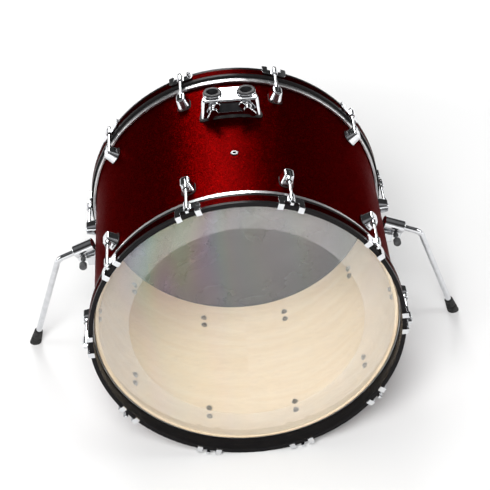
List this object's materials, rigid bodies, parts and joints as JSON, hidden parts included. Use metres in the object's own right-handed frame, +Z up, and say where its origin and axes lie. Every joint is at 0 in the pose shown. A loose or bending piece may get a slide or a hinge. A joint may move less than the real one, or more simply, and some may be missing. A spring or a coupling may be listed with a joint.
{
  "type": "bass drum",
  "caption": "Bass drum lying on its side: red sparkle wood shell, clear batter head, black inlaid hoops on claw hooks, tom bracket on top and two bent spurs.",
  "frame": {"origin": "on the floor under the middle of the drum's box", "axes": "Y along the drum's axis, -Y the batter side and +Y the front side; +X the drummer's right; +Z up"},
  "size_m": [0.9008, 0.472, 0.6095],
  "materials": {
    "shell_wood": "clear lacquered birch and basswood ply",
    "wrap_red_sparkle": "glossy red sparkle sheet",
    "hoop_black": "gloss black lacquer on bent ply",
    "inlay_red_sparkle": "glossy red sparkle sheet",
    "film_clear": "clear glossy polyester film",
    "film_damping": "hazy polyester film",
    "film_black": "black polyester film",
    "flesh_aluminium": "rolled satin aluminium",
    "chrome": "polished chrome plate",
    "zinc_steel": "zinc plated",
    "black_rubber": "matt",
    "black_nylon": "satin moulded",
    "knob_grey": "satin moulded, on a steel screw"
  },
  "bodies": {
    "shell": {"shell": "shell_wood", "shell_wrap": "wrap_red_sparkle", "vent_grommet": "chrome", "vent_nut": "chrome", "batter_lugs": "chrome", "front_lugs": "chrome", "lug_nuts": "zinc_steel", "lug_gaskets": "black_rubber", "lug_screws": "zinc_steel", "lug_washers": "zinc_steel", "tom_bracket": "chrome", "tom_bracket_cover": "black_nylon", "tom_bracket_gasket": "black_rubber", "tom_backing_plate": "zinc_steel", "tom_bracket_bolts": "zinc_steel", "tom_bracket_washers": "zinc_steel", "left_tom_bush": "black_nylon", "right_tom_bush": "black_nylon", "left_spur_bracket": "chrome", "right_spur_bracket": "chrome", "spur_gaskets": "black_rubber", "spur_backing_plates": "zinc_steel", "spur_bolts": "zinc_steel", "spur_washers": "zinc_steel"},
    "batter_head": {"batter_film": "film_clear", "batter_damping_ring": "film_damping", "batter_flesh_hoop": "flesh_aluminium", "batter_hoop": "hoop_black", "batter_hoop_inlay": "inlay_red_sparkle", "batter_claws": "chrome", "batter_claw_liners": "black_rubber", "batter_tension_rods": "chrome", "batter_rod_washers": "zinc_steel"},
    "front_head": {"front_film": "film_black", "front_flesh_hoop": "flesh_aluminium", "front_hoop": "hoop_black", "front_hoop_inlay": "inlay_red_sparkle", "front_claws": "chrome", "front_claw_liners": "black_rubber", "front_tension_rods": "chrome", "front_rod_washers": "zinc_steel"},
    "left_tom_pad": {"left_tom_pad": "black_nylon"},
    "left_tom_wing_bolt": {"left_tom_wing_bolt": "chrome"},
    "right_tom_pad": {"right_tom_pad": "black_nylon"},
    "right_tom_wing_bolt": {"right_tom_wing_bolt": "chrome"},
    "left_spur_sleeve": {"left_spur_sleeve": "black_nylon"},
    "left_spur_leg": {"left_spur_leg": "chrome", "left_spur_foot": "black_rubber"},
    "left_spur_knob": {"left_spur_knob": "knob_grey"},
    "right_spur_sleeve": {"right_spur_sleeve": "black_nylon"},
    "right_spur_leg": {"right_spur_leg": "chrome", "right_spur_foot": "black_rubber"},
    "right_spur_knob": {"right_spur_knob": "knob_grey"}
  },
  "joints": [
    {"name": "batter_head_tension", "type": "slide", "parent": "shell", "child": "batter_head", "axis": [0, -1, 0], "range_m": [0, 0.006]},
    {"name": "front_head_tension", "type": "slide", "parent": "shell", "child": "front_head", "axis": [0, 1, 0], "range_m": [0, 0.006]},
    {"name": "left_tom_pad_slide", "type": "slide", "parent": "shell", "child": "left_tom_pad", "axis": [0, -1, 0], "range_m": [-0.00125, 0.0025]},
    {"name": "left_tom_wing_turn", "type": "hinge", "parent": "left_tom_pad", "child": "left_tom_wing_bolt", "pos_m": [-0.0313, 0.062, 0.591], "axis": [0, -1, 0], "range_deg": [-360, 720]},
    {"name": "right_tom_pad_slide", "type": "slide", "parent": "shell", "child": "right_tom_pad", "axis": [0, -1, 0], "range_m": [-0.00125, 0.0025]},
    {"name": "right_tom_wing_turn", "type": "hinge", "parent": "right_tom_pad", "child": "right_tom_wing_bolt", "pos_m": [0.0313, 0.062, 0.591], "axis": [0, -1, 0], "range_deg": [-360, 720]},
    {"name": "left_spur_turn", "type": "hinge", "parent": "shell", "child": "left_spur_sleeve", "pos_m": [-0.292, 0.105, 0.275], "axis": [0.9223, 0, 0.3865], "range_deg": [-60, 75]},
    {"name": "left_spur_slide", "type": "slide", "parent": "left_spur_sleeve", "child": "left_spur_leg", "axis": [-0.9223, 0, -0.3865], "range_m": [0, 0.02]},
    {"name": "left_spur_knob_turn", "type": "hinge", "parent": "shell", "child": "left_spur_knob", "pos_m": [-0.31052, 0.105, 0.24935], "axis": [0, -1, 0], "range_deg": [0, 720]},
    {"name": "right_spur_turn", "type": "hinge", "parent": "shell", "child": "right_spur_sleeve", "pos_m": [0.292, 0.105, 0.275], "axis": [0.9223, 0, -0.3865], "range_deg": [-60, 75]},
    {"name": "right_spur_slide", "type": "slide", "parent": "right_spur_sleeve", "child": "right_spur_leg", "axis": [0.9223, 0, -0.3865], "range_m": [0, 0.02]},
    {"name": "right_spur_knob_turn", "type": "hinge", "parent": "shell", "child": "right_spur_knob", "pos_m": [0.31052, 0.105, 0.24935], "axis": [0, -1, 0], "range_deg": [0, 720]}
  ],
  "couplings": [
    {"joint": "left_tom_wing_turn", "follows": "left_tom_pad_slide", "rad_per_m": 5026.5},
    {"joint": "right_tom_wing_turn", "follows": "right_tom_pad_slide", "rad_per_m": 5026.5}
  ]
}
